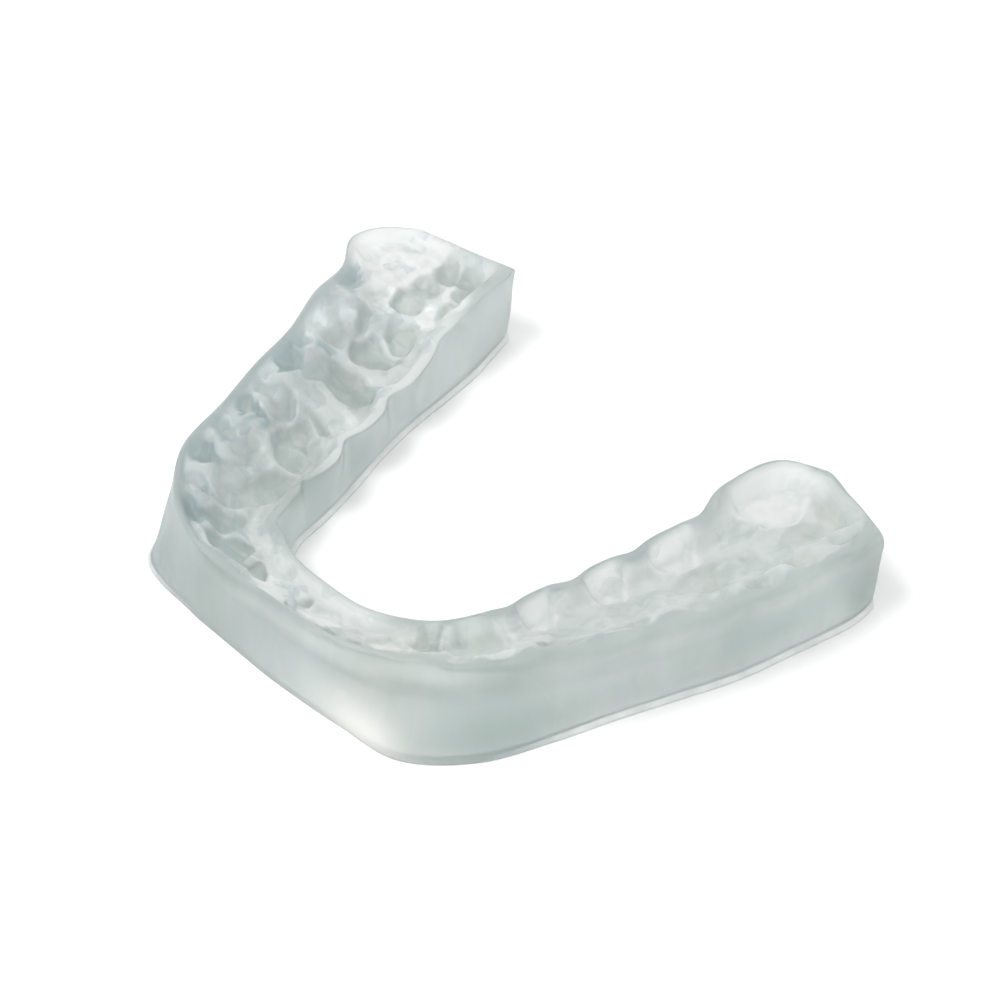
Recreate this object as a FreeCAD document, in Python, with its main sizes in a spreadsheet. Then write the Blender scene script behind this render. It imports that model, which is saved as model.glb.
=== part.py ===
import FreeCAD
import Part
import Sketcher
import os

# Clear printed bite splint (mouthguard) for the lower or upper teeth, one solid piece.
# Frame: +Z up, origin under the middle of the bounding box, on the flat resting face.
# The front teeth point to -Y, the two arms run back to +Y, +X is one arm's outer side.
# "Buccal" is the outer (cheek) side of the arch and "lingual" the inner (tongue) side.
# All lengths are millimetres and all angles are degrees.

SHEET = "dims"

# Driving dimensions that hold for the whole piece.
DIMENSIONS = {
    "base_lip": 0.3,           # how far the lip round the base stands out
    "base_lip_height": 0.5,
    "base_trim": 0.3,          # extra depth lofted below the base, then cut off flat
    "base_cut_size": 80.0,     # side of the square cut, wider than the arch
    "crest": 1.6,              # width of the flat crest on each rim
    "floor_height": 4.6,       # biting floor between the two rims
    "trough_taper": 0.8,       # how far each trough wall leans in by the time it meets the floor
    "trough_top": 12.0,        # top of the cut, above every rim
    "buccal_wall": 2.4,        # wall left outside the trough at its top
    "lingual_wall": 2.2,       # wall left inside the trough at its top
    "seat_centre_height": 6.8,  # where each tooth seat is widest
    "arch_shift": -0.35,       # brings the middle of the arch's length over the origin
}

# Cross-sections round the arch, from the left rear end through the front to the right rear end.
STATION_COLUMNS = ("buccal_x", "buccal_y", "lingual_x", "lingual_y",
                   "buccal_lean", "lingual_lean", "buccal_rim", "lingual_rim")
STATIONS = (
    # base of the buccal wall, base of the lingual wall, inward lean of each, height of each rim
    ("left_end", -28.8, 21.4, -18.4, 23.8, 0.0, -1.1, 9.8, 9.8),
    ("left_corner", -31.6, 18.9, -17.6, 21.2, -0.2, -0.6, 9.8, 9.6),
    ("left_second_molar", -32.7, 15.7, -16.6, 17.4, -0.3, 0.3, 9.8, 9.0),
    ("left_molar_gap", -30.2, 11.6, -15.9, 12.4, 0.0, 0.0, 9.8, 7.4),
    ("left_first_molar", -29.3, 7.4, -15.4, 7.8, 0.0, -0.6, 9.8, 6.6),
    ("left_second_premolar", -26.7, 1.6, -14.4, 2.6, 0.0, -0.8, 9.8, 6.4),
    ("left_first_premolar", -25.2, -4.0, -12.9, -2.6, 0.0, -0.5, 9.8, 6.4),
    ("left_canine", -23.4, -9.8, -11.7, -7.6, 0.2, -0.4, 9.8, 6.4),
    ("left_front_arm", -21.4, -17.2, -10.9, -11.8, 0.6, 0.0, 9.8, 6.4),
    ("left_front_corner", -19.3, -22.6, -9.0, -14.4, 2.9, 0.0, 9.4, 6.4),
    ("left_incisors", -11.0, -24.0, -5.6, -16.2, 0.6, 0.0, 9.2, 6.6),
    ("front", -1.0, -24.0, -0.4, -16.6, 0.8, 0.0, 9.2, 6.8),
    ("right_incisors", 8.6, -23.2, 5.0, -15.6, 1.4, 0.0, 9.2, 6.6),
    ("right_front_corner", 14.8, -22.2, 9.0, -12.9, 3.4, 0.0, 9.2, 6.4),
    ("right_front_arm", 20.2, -17.0, 11.6, -8.9, 2.6, 0.0, 9.4, 6.4),
    ("right_canine", 22.9, -11.0, 12.6, -5.4, 1.0, 0.0, 9.6, 6.4),
    ("right_first_premolar", 25.0, -5.2, 13.7, -0.6, -0.4, 0.0, 9.6, 6.4),
    ("right_second_premolar", 27.3, 0.6, 14.9, 4.4, -0.5, 0.0, 9.6, 6.4),
    ("right_first_molar", 29.6, 6.6, 15.9, 9.0, -0.5, 0.0, 9.6, 6.6),
    ("right_molar_gap", 31.0, 12.4, 16.9, 13.2, -0.5, 0.0, 9.6, 7.2),
    ("right_second_molar", 32.2, 17.6, 17.3, 17.4, -0.3, 0.0, 9.6, 8.8),
    ("right_corner", 32.4, 20.6, 19.6, 22.9, -0.4, 0.0, 9.6, 9.6),
    ("right_end", 32.14, 22.2, 23.9, 24.9, -0.9, 0.0, 9.6, 9.6),
)
# The trough is cut from the first to the last of these stations.
TROUGH_STATIONS = STATIONS[2:-2]

# One seat for each tooth: centre, turn of its length from +X, length along the arch, width
# across it, and the height of its deepest point.
SEAT_COLUMNS = ("x", "y", "turn", "length", "width", "deepest")
SEATS = (
    ("left_second_molar_seat", -24.4, 15.2, 98.0, 10.4, 10.6, 3.6),
    ("left_first_molar_seat", -22.2, 6.6, 104.0, 10.4, 9.6, 3.4),
    ("left_second_premolar_seat", -20.2, -1.2, 107.0, 6.6, 8.4, 3.8),
    ("left_first_premolar_seat", -18.2, -7.6, 110.0, 6.4, 8.0, 3.8),
    ("left_canine_seat", -15.8, -14.0, 124.0, 6.8, 6.8, 3.4),
    ("left_side_incisor_seat", -10.2, -19.4, 154.0, 5.6, 4.4, 4.0),
    ("left_middle_incisor_seat", -4.2, -20.7, 174.0, 5.8, 4.2, 4.0),
    ("right_middle_incisor_seat", 2.4, -20.5, 4.0, 5.8, 4.2, 4.0),
    ("right_side_incisor_seat", 8.4, -18.6, 26.0, 5.6, 4.4, 4.0),
    ("right_canine_seat", 14.2, -13.6, 52.0, 6.8, 6.8, 3.4),
    ("right_first_premolar_seat", 18.0, -6.6, 70.0, 6.4, 8.0, 3.8),
    ("right_second_premolar_seat", 20.4, -0.2, 73.0, 6.6, 8.4, 3.8),
    ("right_first_molar_seat", 22.8, 7.8, 76.0, 10.4, 9.6, 3.4),
    ("right_second_molar_seat", 24.8, 17.4, 84.0, 11.6, 10.6, 3.6),
)


def cell(alias):
    """Expression for one cell of the sheet."""
    return f"{SHEET}.{alias}"


def fill_sheet(document):
    """Put every driving dimension in the sheet, one aliased cell each."""
    values = dict(DIMENSIONS)
    for columns, rows in ((STATION_COLUMNS, STATIONS), (SEAT_COLUMNS, SEATS)):
        for name, *numbers in rows:
            values.update({f"{name}_{column}": number for column, number in zip(columns, numbers)})
    sheet = document.addObject("Spreadsheet::Sheet", SHEET)
    for row, (alias, value) in enumerate(values.items(), start=1):
        sheet.set(f"A{row}", alias.replace("_", " "))
        sheet.set(f"B{row}", str(value))
        sheet.setAlias(f"B{row}", alias)
    document.recompute()


def on_origin_plane(feature, body, role, turn_axis=None):
    """Attach a feature to one of its own body's origin planes, ready to be turned if asked."""
    plane = next(item for item in body.Origin.OriginFeatures if item.Role == role)
    feature.AttachmentSupport = [(plane, "")]
    feature.MapMode = "FlatFace"
    if turn_axis:
        one_degree = FreeCAD.Rotation(turn_axis, 1)
        feature.AttachmentOffset = FreeCAD.Placement(FreeCAD.Vector(0, 0, 0), one_degree)


def station_run(station):
    """Expressions for the run from the buccal foot to the lingual foot, along x and y."""
    run_x = f"({cell(station + '_lingual_x')} - {cell(station + '_buccal_x')})"
    run_y = f"({cell(station + '_lingual_y')} - {cell(station + '_buccal_y')})"
    return run_x, run_y


def wall_tops(station):
    """Expressions for the outer edge of the buccal rim and of the lingual rim."""
    run_x, run_y = station_run(station)
    width = f"sqrt({run_x} * {run_x} + {run_y} * {run_y})"
    buccal_top = cell(f"{station}_buccal_lean")
    lingual_top = f"{width} - {cell(station + '_lingual_lean')}"
    return width, buccal_top, lingual_top


def outer_corners(station):
    """The base with its lip, the two walls, the two crests and the slope between the crests."""
    width, buccal_top, lingual_top = wall_tops(station)
    lip = cell("base_lip")
    bottom = f"-{cell('base_trim')}"
    foot = cell("base_lip_height")
    crest = cell("crest")
    buccal_rim = cell(f"{station}_buccal_rim")
    lingual_rim = cell(f"{station}_lingual_rim")
    return (
        (f"-{lip}", bottom),
        (f"{width} + {lip}", bottom),
        (f"{width} + {lip}", foot),
        (width, foot),
        (lingual_top, lingual_rim),
        (f"{lingual_top} - {crest}", lingual_rim),
        (f"{buccal_top} + {crest}", buccal_rim),
        (buccal_top, buccal_rim),
        ("0", foot),
        (f"-{lip}", foot),
    )


def trough_corners(station):
    """The biting trough: a flat floor between two steep walls, open at the top."""
    width, buccal_top, lingual_top = wall_tops(station)
    near = f"{buccal_top} + {cell('buccal_wall')}"
    far = f"{lingual_top} - {cell('lingual_wall')}"
    taper = cell("trough_taper")
    floor = cell("floor_height")
    top = cell("trough_top")
    return (
        (f"{near} + {taper}", floor),
        (f"{far} - {taper}", floor),
        (far, top),
        (near, top),
    )


def draw_polygon(sketch, corners):
    """Closed polygon whose corners are pairs of expressions, measured from the sketch's origin."""
    places = [FreeCAD.Vector(*map(sketch.evalExpression, pair), 0) for pair in corners]
    count = len(places)
    for index, place in enumerate(places):
        following = places[(index + 1) % count]
        sketch.addGeometry(Part.LineSegment(place, following), False)
    for index in range(count):
        following = (index + 1) % count
        sketch.addConstraint(Sketcher.Constraint("Coincident", index, 2, following, 1))
    for index, (place, expressions) in enumerate(zip(places, corners)):
        for size_kind, guess, expression in zip(
                ("DistanceX", "DistanceY"), (place.x, place.y), expressions):
            size = Sketcher.Constraint(size_kind, -1, 1, index, 1, guess)
            number = sketch.addConstraint(size)
            sketch.setExpression(f"Constraints[{number}]", expression)


def station_sketch(body, station, kind, corners):
    """Closed polygon in the upright plane through one station.

    The sketch starts at the foot of the buccal wall. Its x axis runs level to the foot of the
    lingual wall and its y axis runs up.
    """
    sketch = body.newObject("Sketcher::SketchObject", f"{station}_{kind}")
    on_origin_plane(sketch, body, "XZ_Plane", FreeCAD.Vector(0, 1, 0))
    run_x, run_y = station_run(station)
    sketch.setExpression("AttachmentOffset.Base.x", cell(f"{station}_buccal_x"))
    sketch.setExpression("AttachmentOffset.Base.z", f"-{cell(station + '_buccal_y')}")
    sketch.setExpression("AttachmentOffset.Rotation.Angle", f"atan2({run_y}; {run_x})")
    draw_polygon(sketch, corners)
    return sketch


def loft(body, kind, name, stations, corners_of):
    """Straight-sided loft through one section at each station."""
    sketches = [station_sketch(body, station[0], name, corners_of(station[0]))
                for station in stations]
    feature = body.newObject(kind, name)
    feature.Profile = sketches[0]
    feature.Sections = sketches[1:]
    feature.Ruled = True
    return feature


def flat_base(body):
    """Cut off everything below the resting face, which leaves one plane."""
    sketch = body.newObject("Sketcher::SketchObject", "base_outline")
    on_origin_plane(sketch, body, "XY_Plane")
    half = f"{cell('base_cut_size')} / 2"
    draw_polygon(sketch, (
        (f"-{half}", f"-{half}"), (half, f"-{half}"), (half, half), (f"-{half}", half)))
    cut = body.newObject("PartDesign::Pocket", "base_cut")
    cut.Profile = sketch
    cut.setExpression("Length", f"{cell('base_trim')} * 2")
    return cut


def tooth_seat(body, name):
    """Half-sunk ellipsoid that takes one tooth's biting surface."""
    seat = body.newObject("PartDesign::SubtractiveEllipsoid", name)
    on_origin_plane(seat, body, "XY_Plane", FreeCAD.Vector(0, 0, 1))
    seat.setExpression("AttachmentOffset.Base.x", cell(f"{name}_x"))
    seat.setExpression("AttachmentOffset.Base.y", cell(f"{name}_y"))
    seat.setExpression("AttachmentOffset.Base.z", cell("seat_centre_height"))
    seat.setExpression("AttachmentOffset.Rotation.Angle", cell(f"{name}_turn"))
    seat.setExpression("Radius1", f"{cell('seat_centre_height')} - {cell(name + '_deepest')}")
    seat.setExpression("Radius2", f"{cell(name + '_length')} / 2")
    seat.setExpression("Radius3", f"{cell(name + '_width')} / 2")
    return seat


def mouthguard_body(document):
    """The whole guard: one printed solid."""
    body = document.addObject("PartDesign::Body", "mouthguard_body")
    body.Label = "mouthguard_body"
    body.setExpression("Placement.Base.y", cell("arch_shift"))
    loft(body, "PartDesign::AdditiveLoft", "arch", STATIONS, outer_corners)
    document.recompute()
    uncut = body.Shape.Volume
    flat_base(body)
    document.recompute()
    if body.Shape.Volume >= uncut:
        raise RuntimeError("the base cut removed nothing")
    loft(body, "PartDesign::SubtractiveLoft", "trough", TROUGH_STATIONS, trough_corners)
    document.recompute()
    for name, *_ in SEATS:
        tooth_seat(body, name)
    return body


def check(document, bodies):
    """Stop if any object failed to build or any piece is not one valid solid."""
    for item in document.Objects:
        if "Invalid" in item.State or "Error" in item.State:
            raise RuntimeError(f"{item.Name} did not build: {item.State}")
    for body in bodies:
        if body.Shape.isNull() or not body.Shape.isValid() or len(body.Shape.Solids) != 1:
            raise RuntimeError(f"{body.Label} is not one valid solid")


def main():
    document = FreeCAD.newDocument("mouthguard")
    fill_sheet(document)
    bodies = [mouthguard_body(document)]
    document.recompute()
    check(document, bodies)
    os.makedirs("parts", exist_ok=True)
    for body in bodies:
        body.Shape.exportStep(f"parts/{body.Label}.step")
        box = body.Shape.optimalBoundingBox()
        print(body.Label, "volume", round(body.Shape.Volume, 1))
        print("x", round(box.XMin, 3), round(box.XMax, 3))
        print("y", round(box.YMin, 3), round(box.YMax, 3))
        print("z", round(box.ZMin, 3), round(box.ZMax, 3))


main()
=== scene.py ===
import math
from collections import namedtuple

import bmesh
import bpy
import numpy as np
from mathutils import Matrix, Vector, noise


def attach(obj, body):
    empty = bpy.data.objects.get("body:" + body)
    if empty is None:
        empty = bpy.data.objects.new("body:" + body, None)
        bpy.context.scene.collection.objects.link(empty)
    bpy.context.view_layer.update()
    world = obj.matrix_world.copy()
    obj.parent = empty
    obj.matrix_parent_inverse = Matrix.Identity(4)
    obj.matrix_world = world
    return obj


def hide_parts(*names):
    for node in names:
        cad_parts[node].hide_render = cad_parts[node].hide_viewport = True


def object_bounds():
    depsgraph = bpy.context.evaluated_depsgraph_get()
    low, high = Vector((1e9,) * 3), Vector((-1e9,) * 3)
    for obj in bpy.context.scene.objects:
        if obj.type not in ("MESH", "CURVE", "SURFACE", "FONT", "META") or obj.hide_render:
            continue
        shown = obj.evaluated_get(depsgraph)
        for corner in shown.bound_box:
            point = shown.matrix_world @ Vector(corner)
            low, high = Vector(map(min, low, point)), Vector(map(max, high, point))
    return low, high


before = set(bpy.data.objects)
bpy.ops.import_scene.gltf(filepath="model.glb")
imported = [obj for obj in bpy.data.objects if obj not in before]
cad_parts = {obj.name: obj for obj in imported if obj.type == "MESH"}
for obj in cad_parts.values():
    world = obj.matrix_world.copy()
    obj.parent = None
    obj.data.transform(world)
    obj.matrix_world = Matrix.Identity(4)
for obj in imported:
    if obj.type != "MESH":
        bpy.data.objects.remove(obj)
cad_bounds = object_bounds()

# A clear printed bite splint, rebuilt as one detailed closed mesh round the arch of the packed
# solid. Lengths in this script are millimetres until they are written to a mesh, in metres.
# "Buccal" is the cheek side of the arch, "lingual" the tongue side. "Along" runs from the left
# rear end through the front to the right rear end, and "across" runs from buccal to lingual.

MM = 0.001
NODE = "mouthguard_body"

# ---------------------------------------------------------------- the arch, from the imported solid

BASE_LEVEL = 0.001      # a vertex lower than this is on the base
RIM_SEARCH = 5.0        # the rims' corners are all above this height
PLANE_REACH = 0.08      # how far a vertex may be off a section's plane and still belong to it
PAST_FOOT = 2           # how far a section's rims may be past its feet
WELD = 0.002            # vertices nearer than this are one


def welded_solid(node):
    """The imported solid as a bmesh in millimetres, with its split vertices welded."""
    mesh = bmesh.new()
    mesh.from_mesh(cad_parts[node].data)
    bmesh.ops.scale(mesh, vec=(1 / MM, 1 / MM, 1 / MM), verts=mesh.verts)
    bmesh.ops.remove_doubles(mesh, verts=mesh.verts, dist=WELD)
    return mesh


def base_loop(mesh):
    """The vertices of the base's outline, in order."""
    def on_base(vert):
        return vert.co.z < BASE_LEVEL
    follows = {}
    for edge in mesh.edges:
        ends = edge.verts
        outline = any(not all(on_base(v) for v in face.verts) for face in edge.link_faces)
        if outline and all(on_base(v) for v in ends):
            follows.setdefault(ends[0], []).append(ends[1])
            follows.setdefault(ends[1], []).append(ends[0])
    start = next(iter(follows))
    loop = [start, follows[start][0]]
    while True:
        step = next(v for v in follows[loop[-1]] if v is not loop[-2])
        if step is start:
            return [np.array(v.co) for v in loop]
        loop.append(step)


def read_sections(node):
    """Feet and rims of both walls at each section of the solid, as four arrays of points."""
    mesh = welded_solid(node)
    loop = base_loop(mesh)
    left_tip = max((i for i, p in enumerate(loop) if p[0] < 0), key=lambda i: loop[i][1])
    loop = loop[left_tip:] + loop[:left_tip]
    right_tip = max((i for i, p in enumerate(loop) if p[0] > 0), key=lambda i: loop[i][1])
    if right_tip != len(loop) // 2 - 1:
        loop = [loop[0]] + loop[:0:-1]
    half = len(loop) // 2
    lingual_feet = np.array(loop[:half])
    buccal_feet = np.array(loop[:half - 1:-1])
    corners = np.array([v.co for v in mesh.verts if v.co.z > RIM_SEARCH])
    mesh.free()
    buccal_rims = []
    lingual_rims = []
    for foot, inner in zip(buccal_feet, lingual_feet):
        run = (inner - foot)[:2]
        width = np.hypot(*run)
        run = run / width
        offset = corners[:, :2] - foot[:2]
        along_run = offset @ run
        off_plane = np.abs(offset @ np.array([-run[1], run[0]]))
        near = (off_plane < PLANE_REACH) & (along_run > -PAST_FOOT) & (along_run < width + PAST_FOOT)
        buccal_rims.append(corners[near][np.argmin(along_run[near])])
        lingual_rims.append(corners[near][np.argmax(along_run[near])])
    return buccal_feet, lingual_feet, np.array(buccal_rims), np.array(lingual_rims)


def through(knots, values, places):
    """Smooth curve through values at knots (Catmull-Rom, uneven knots), read at places."""
    slopes = np.gradient(values, knots, axis=0)
    index = np.clip(np.searchsorted(knots, places, side="right") - 1, 0, len(knots) - 2)
    gap = (knots[index + 1] - knots[index])[:, None]
    part = ((places - knots[index]) / gap[:, 0])[:, None]
    start, end = values[index], values[index + 1]
    rise, fall = slopes[index] * gap, slopes[index + 1] * gap
    return ((2 * part**3 - 3 * part**2 + 1) * start + (part**3 - 2 * part**2 + part) * rise
            + (3 * part**2 - 2 * part**3) * end + (part**3 - part**2) * fall)


def smooth(low, high, value):
    """Smooth step from 0 at low to 1 at high."""
    part = np.clip((value - low) / (high - low), 0, 1)
    return part * part * (3 - 2 * part)


def plateau(rise, fall, value):
    """1 between two places, easing in over the range rise and out over the range fall."""
    return smooth(*rise, value) * (1 - smooth(*fall, value))


# ---------------------------------------------------------------- tooth imprints

Dent = namedtuple("Dent", "along across half_length half_width turn depth flat white")
Facet = namedtuple("Facet", "along across half_length half_width turn depth white")

# Every dent pressed into the top, tooth by tooth. Each row: place along the arch from the left rear
# end (mm), place across it (0 buccal rim, 1 lingual rim), half length along and half width across
# (mm), turn (degrees), depth (mm), flat part of its floor (0 a bowl, towards 1 a flat pan), and how
# white its floor is (0 clear, 1 frosted white, below 0 darker as painted shade in deep dents).
DENTS = {
    "left second molar": (
        (5.0, 0.48, 4.8, 6.4, 0, 1.7, 0.5, 1.0),
        (2.9, 0.56, 1.5, 1.7, 0, 3.0, 0.3, -0.4),
        (2.7, 0.72, 1.4, 1.5, 10, 3.1, 0.2, -0.4),
        (4.4, 0.79, 1.5, 1.5, 20, 3.0, 0.2, -0.4),
        (6.6, 0.80, 1.3, 1.4, 30, 2.8, 0.2, 0.1),
        (5.2, 0.56, 1.8, 1.9, 10, 2.8, 0.3, 0.1),
        (7.8, 0.54, 2.0, 1.9, 10, 2.9, 0.5, 0.2),
        (9.2, 0.36, 1.6, 2.0, 20, 2.3, 0.1, 0.9),
    ),
    "left first molar": (
        (11.9, 0.63, 1.7, 2.0, 10, 3.2, 0.3, 0.2),
        (15.4, 0.57, 2.0, 2.6, 15, 3.4, 0.4, -0.3),
        (14.0, 0.38, 2.9, 1.1, 6, 2.7, 0.1, 0.0),
        (10.4, 0.34, 1.8, 1.9, 20, 2.4, 0.2, 0.9),
        (17.4, 0.32, 2.0, 1.6, 0, 2.3, 0.1, 0.3),
    ),
    "left second premolar": (
        (20.6, 0.55, 2.3, 2.7, -14, 3.4, 0.4, -0.3),
        (21.8, 0.36, 2.4, 1.6, -20, 2.5, 0.2, 0.3),
        (24.4, 0.70, 1.8, 1.2, -40, 2.3, 0.1, 0.8),
        (26.3, 0.60, 0.9, 1.5, 0, 2.9, 0.1, 0.0),
    ),
    "left first premolar": (
        (29.9, 0.59, 2.9, 2.5, 10, 3.4, 0.4, 0.1),
        (28.4, 0.36, 2.4, 1.5, 0, 2.5, 0.1, 0.1),
        (29.0, 0.78, 1.5, 0.9, 0, 2.0, 0.2, 0.3),
    ),
    "left canine": (
        (36.6, 0.65, 5.6, 1.7, -20, 3.0, 0.4, 0.1),
        (42.4, 0.46, 2.4, 1.9, -25, 3.2, 0.2, -0.2),
        (34.6, 0.38, 2.4, 1.4, 0, 2.6, 0.2, 0.2),
        (39.0, 0.40, 1.8, 1.4, 20, 2.5, 0.2, 0.1),
    ),
    "left side incisor": (
        (48.6, 0.45, 4.2, 1.3, 16, 3.6, 0.3, -0.7),
        (46.2, 0.46, 2.0, 2.0, 10, 3.3, 0.3, -0.6),
        (47.4, 0.23, 2.1, 1.5, 24, 1.8, 0.6, 1.0),
        (46.2, 0.78, 1.9, 1.3, 20, 1.4, 0.5, 0.7),
    ),
    "left middle incisor": (
        (54.2, 0.36, 2.2, 2.1, 0, 2.0, 0.9, 1.0),
        (51.8, 0.70, 1.5, 1.2, 0, 1.3, 0.6, 0.7),
        (57.0, 0.14, 0.8, 0.8, 20, 2.4, 0.1, -0.4),
        (57.0, 0.60, 0.5, 1.0, 0, 2.2, 0.1, -0.2),
    ),
    "right middle incisor": (
        (59.6, 0.42, 1.9, 2.1, 0, 2.0, 0.9, 1.0),
        (62.0, 0.12, 0.8, 0.9, -15, 2.4, 0.1, -0.5),
        (63.3, 0.44, 1.2, 1.7, -15, 1.6, 0.5, 0.4),
    ),
    "right side incisor": (
        (66.8, 0.46, 1.6, 1.8, 0, 2.0, 0.9, 0.8),
        (65.0, 0.16, 0.6, 0.9, 0, 2.2, 0.1, -0.3),
        (70.3, 0.66, 1.6, 1.9, 0, 2.0, 0.3, -0.3),
    ),
    "right canine": (
        (75.2, 0.64, 2.7, 2.4, 0, 2.2, 0.7, 0.4),
        (78.9, 0.62, 0.8, 2.4, 0, 2.1, 0.2, 0.8),
        (77.6, 0.30, 1.8, 1.6, 20, 1.8, 0.2, 0.8),
        (73.2, 0.30, 1.8, 1.3, 0, 1.8, 0.2, 0.4),
    ),
    "right first premolar": (
        (82.9, 0.85, 1.7, 2.0, 0, 2.7, 0.6, 1.0),
        (84.9, 0.58, 2.7, 2.3, 10, 2.4, 0.3, 0.4),
        (82.5, 0.29, 2.3, 1.4, -4, 2.0, 0.2, 0.2),
    ),
    "right second premolar": (
        (90.4, 0.86, 1.6, 2.0, 0, 2.7, 0.6, 1.0),
        (90.6, 0.56, 2.5, 2.5, 10, 2.4, 0.3, 0.4),
        (88.4, 0.28, 2.3, 1.3, 0, 2.0, 0.1, 0.2),
    ),
    "right first molar": (
        (98.8, 0.86, 2.1, 2.0, 0, 2.7, 0.6, 1.0),
        (98.6, 0.54, 3.0, 2.3, 8, 2.5, 0.6, 0.3),
        (103.0, 0.46, 1.5, 2.2, 0, 2.4, 0.2, 0.3),
        (95.8, 0.27, 2.3, 1.5, 0, 2.1, 0.2, 0.3),
        (101.0, 0.22, 1.9, 1.3, 0, 1.9, 0.2, 0.3),
    ),
    "right second molar": (
        (108.0, 0.54, 4.4, 6.0, 0, 1.6, 0.5, 0.5),
        (109.6, 0.80, 3.4, 3.1, 0, 2.5, 0.7, 1.0),
        (108.4, 0.46, 3.1, 1.7, 8, 2.3, 0.4, 0.3),
        (105.4, 0.26, 2.0, 1.6, 0, 2.0, 0.2, 0.4),
        (110.4, 0.26, 1.9, 1.5, 0, 1.9, 0.2, 0.5),
    ),
}
# Frosted white stretches of the shell round the dents: place along and across, and how far each
# reaches along (mm) and across (as a part of the width).
FROSTED = (
    (4.0, 0.16, 6.0, 0.34),
    (20.0, 0.90, 13.0, 0.12),
    (57.0, 0.66, 9.0, 0.34),
)
# Glassy facets in the left arm's thick cheek wall: four-sided pits, in the same terms as the
# dents but with no flat floor.
FACETS = (
    (11.0, 0.14, 3.8, 3.4, 25, 2.0, 0.1),
    (14.6, 0.30, 2.4, 2.2, -20, 2.0, 0.9),
    (18.6, 0.13, 3.2, 2.0, 12, 1.8, 1.0),
    (19.4, 0.34, 2.4, 2.2, 35, 2.3, 0.2),
    (21.0, 0.14, 2.0, 2.2, 20, 1.9, 0.3),
    (23.6, 0.17, 3.4, 3.9, 10, 2.7, 0.0),
    (26.6, 0.09, 2.2, 2.0, -35, 2.0, 1.0),
    (28.2, 0.22, 2.2, 2.6, -30, 2.1, 0.4),
    (31.3, 0.20, 2.2, 4.0, 20, 2.6, 0.0),
    (32.2, 0.09, 1.9, 2.0, 28, 2.0, 0.9),
    (34.6, 0.22, 2.4, 2.8, -5, 2.2, 0.3),
    (37.4, 0.19, 2.7, 3.4, 5, 2.8, 0.0),
    (39.0, 0.08, 1.9, 1.6, 0, 1.9, 1.0),
    (40.8, 0.26, 2.6, 2.7, -25, 2.2, 0.3),
    (44.0, 0.20, 2.7, 3.2, 15, 2.7, 0.0),
)
# Printed steps that show as ripples: place along and across, half length, half width, the
# direction they run in (degrees), spacing and height (mm).
RIPPLES = (
    (11.0, 0.14, 2.8, 2.6, 65, 0.80, 0.15),
    (31.4, 0.22, 1.4, 2.2, 80, 0.95, 0.12),
    (70.2, 0.82, 1.8, 1.6, 0, 0.80, 0.08),
    (86.0, 0.86, 1.4, 1.2, 30, 0.80, 0.06),
)
FROST_ON_SHELL = 0.75    # how white the frosted stretches are
FROST_FADE = (0.7, 1.3)  # where they fade out, as parts of their reach
SHORT_STEP = 0.1         # step along the arch that gives its direction at a dent
DENT_EDGE = 0.11         # softness of each dent's edge
DENT_REACH = 1.22        # how far the dents spread into each other, so that thin ridges part them
DENT_UNION = 9           # how sharply neighbouring dents meet
CELL = 2.9               # spacing of the small hollows that the print's cusps and fissures left, mm
CELL_DEPTH = 0.85        # how steeply each hollow sinks between its sharp ridges
CELL_MEAN = 0.16         # what each hollow's height is measured from
CELL_ON_RIGHT = 0.45     # how much of that depth the softer right arm has
CELL_SOFTER = (0.40, 0.60)  # part of the arch over which it softens
TROUGH_DEPTH = 2.1       # the shallow trough that the dents lie in
TROUGH_LESS_AHEAD = 0.9  # how much shallower it is at the front teeth
TROUGH_AHEAD = ((0.34, 0.46), (0.62, 0.74))  # parts of the arch where it turns so, and back
TROUGH_RIGHT = (0.45, 0.65)  # part of the arch over which it takes on the right arm's shape
TROUGH_START = 0.05      # where it starts across the left arm
TROUGH_START_RIGHT = 0.07  # how much further in it starts on the right arm
TROUGH_START_AHEAD = -0.08  # the same at the front teeth
TROUGH_FULL = 0.42       # where it is at full depth across the left arm
TROUGH_FULL_RIGHT = -0.10  # how much further in it is so on the right arm
TROUGH_END = (0.80, 0.94)  # where it ends at the lingual side
END_WALL = 2.6           # wall left at each rear end of the trough
DEEP = 0.6               # a dent shows its own floor where it is deeper than this
TROUGH_WHITE = 0.6       # how white the trough is between the dents
# Gaps between the teeth that notch the lingual rim, along the arch, and how deep each notch is.
NOTCHES = ((10.3, 0.8), (18.9, 1.2), (26.6, 1.3), (34.0, 1.2), (42.0, 0.7), (79.6, 0.3),
           (87.2, 0.45), (94.6, 0.35), (103.6, 0.4))
NOTCH_REACH = 1.7        # how far a notch reaches along the rim to each side
NOTCH_DROP = 0.4         # how far the rim sinks at a notch, as a part of the notch's depth
NOTCH_RISE = 0.5         # how much shallower the trough is there, in the same terms

PITS = [Dent(*row) for rows in DENTS.values() for row in rows] + [Facet(*row) for row in FACETS]


class Arch:
    """The splint's walls as smooth curves along the arch."""

    def __init__(self):
        curves = read_sections(NODE)
        middle = (curves[0] + curves[1])[:, :2] / 2
        steps = np.hypot(*np.diff(middle, axis=0).T)
        self.knots = np.concatenate([[0], np.cumsum(steps)])
        self.length = self.knots[-1]
        self.curves = curves

    def at(self, along):
        """Buccal foot, lingual foot, buccal rim and lingual rim at each place along the arch."""
        return [through(self.knots, curve, along) for curve in self.curves]


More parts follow.
